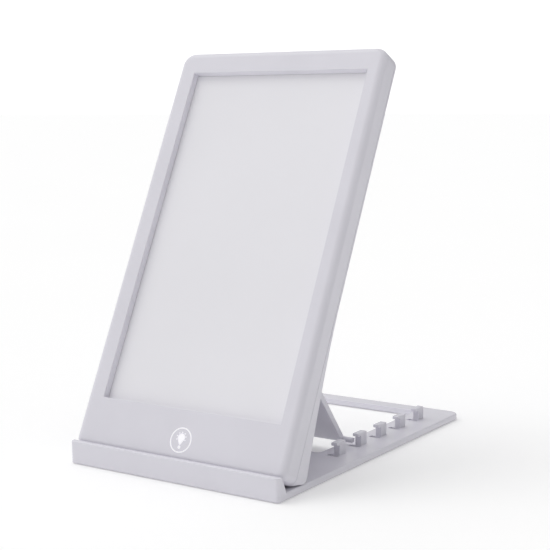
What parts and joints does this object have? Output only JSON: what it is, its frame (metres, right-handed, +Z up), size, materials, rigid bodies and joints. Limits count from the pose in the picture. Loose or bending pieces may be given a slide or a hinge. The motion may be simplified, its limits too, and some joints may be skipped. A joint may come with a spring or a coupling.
{
  "type": "light table",
  "caption": "Slim LED light table: an opal tracing screen in a rounded frame, hinged to a slotted base with a front lip and propped at a choice of angles.",
  "frame": {"origin": "on the table, under the middle of the base", "axes": "+Z up, -Y towards the front lip and the user, +X to the user's right"},
  "size_m": [0.161, 0.242, 0.2629],
  "materials": {
    "lilac_plastic": "semi-gloss moulded, lilac white",
    "opal_acrylic": "matt opal sheet",
    "clear_acrylic": "polished clear sheet",
    "white_film": "white film",
    "print_white": "white inlay",
    "board_green": "solder resist",
    "board_white": "white solder resist",
    "steel": "plated",
    "copper": "foil pad",
    "rubber": "soft pad",
    "cell_foil": "pouch foil",
    "wire_red": "insulation",
    "wire_black": "insulation"
  },
  "bodies": {
    "base": {"base_frame": "lilac_plastic", "rubber_foot_front_left": "rubber", "rubber_foot_front_right": "rubber", "rubber_foot_rear_left": "rubber", "rubber_foot_rear_right": "rubber"},
    "panel": {"front_shell": "lilac_plastic", "rear_shell": "lilac_plastic", "diffuser": "opal_acrylic", "light_guide": "clear_acrylic", "reflector": "white_film", "led_strip": "board_white", "control_board": "board_green", "charging_socket": "steel", "touch_sensor": "copper", "touch_ring": "print_white", "touch_bulb": "print_white", "touch_bulb_cap": "print_white", "battery": "cell_foil", "battery_wire_red": "wire_red", "battery_wire_black": "wire_black", "led_wire_red": "wire_red", "led_wire_black": "wire_black", "tilt_pin_left": "steel", "tilt_pin_right": "steel", "prop_pin_left": "steel", "prop_pin_right": "steel", "shell_screw_left_1": "steel", "shell_screw_right_1": "steel", "shell_screw_left_2": "steel", "shell_screw_right_2": "steel", "shell_screw_left_3": "steel", "shell_screw_right_3": "steel", "shell_screw_left_4": "steel", "shell_screw_right_4": "steel"},
    "prop": {"prop": "lilac_plastic"}
  },
  "joints": [
    {"name": "tilt_hinge", "type": "hinge", "parent": "base", "child": "panel", "pos_m": [0, -0.0955, 0.0104], "axis": [1, 0, 0], "range_deg": [-62.5, 3]},
    {"name": "prop_hinge", "type": "hinge", "parent": "panel", "child": "prop", "pos_m": [0, -0.06084, 0.08351], "axis": [1, 0, 0], "range_deg": [-5.7, 115.9]}
  ],
  "couplings": [
    {"joint": "prop_hinge", "follows": "tilt_hinge", "ratio": -1.8523}
  ]
}
